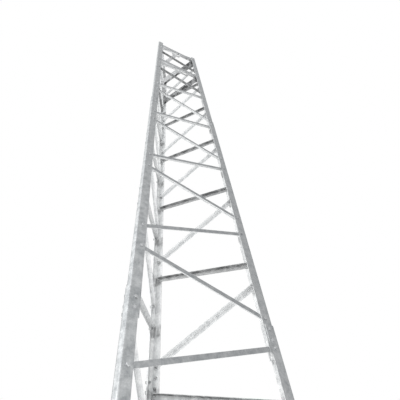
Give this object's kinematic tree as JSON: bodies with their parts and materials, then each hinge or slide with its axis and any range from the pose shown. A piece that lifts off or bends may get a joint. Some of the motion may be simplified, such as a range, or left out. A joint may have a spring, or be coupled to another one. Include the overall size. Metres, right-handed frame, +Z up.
{
  "type": "three-legged lattice tower",
  "caption": "Self-supporting three-legged lattice tower of galvanised steel: folded V legs, zigzag angle bars on each side, two mast shelves at the top and base plates.",
  "frame": {"origin": "tower axis at the underside of the base plates", "axes": "+Z up the tower; -Y towards the front side, between the left and right legs; the third leg is at +Y"},
  "size_m": [1.319, 1.1987, 9.105],
  "materials": {
    "leg": "hot-dip galvanised, dull grey with light spangle",
    "brace": "hot-dip galvanised angle, dull grey",
    "foot": "hot-dip galvanised plate, dull grey"
  },
  "bodies": {
    "root": {"braces_front_1": "brace", "braces_front_2": "brace", "braces_front_3": "brace", "braces_left_1": "brace", "braces_left_2": "brace", "braces_left_3": "brace", "braces_right_1": "brace", "braces_right_2": "brace", "braces_right_3": "brace", "foot_gussets_back": "foot", "foot_gussets_left": "foot", "foot_gussets_right": "foot", "foot_plate_back": "foot", "foot_plate_left": "foot", "foot_plate_right": "foot", "foot_shoe_back": "foot", "foot_shoe_left": "foot", "foot_shoe_right": "foot", "leg_back_1": "leg", "leg_back_2": "leg", "leg_back_3": "leg", "leg_left_1": "leg", "leg_left_2": "leg", "leg_left_3": "leg", "leg_right_1": "leg", "leg_right_2": "leg", "leg_right_3": "leg", "packing_washers_1": "brace", "packing_washers_2": "brace", "top_shelf_lower": "brace", "top_shelf_upper": "brace"}
  },
  "joints": []
}
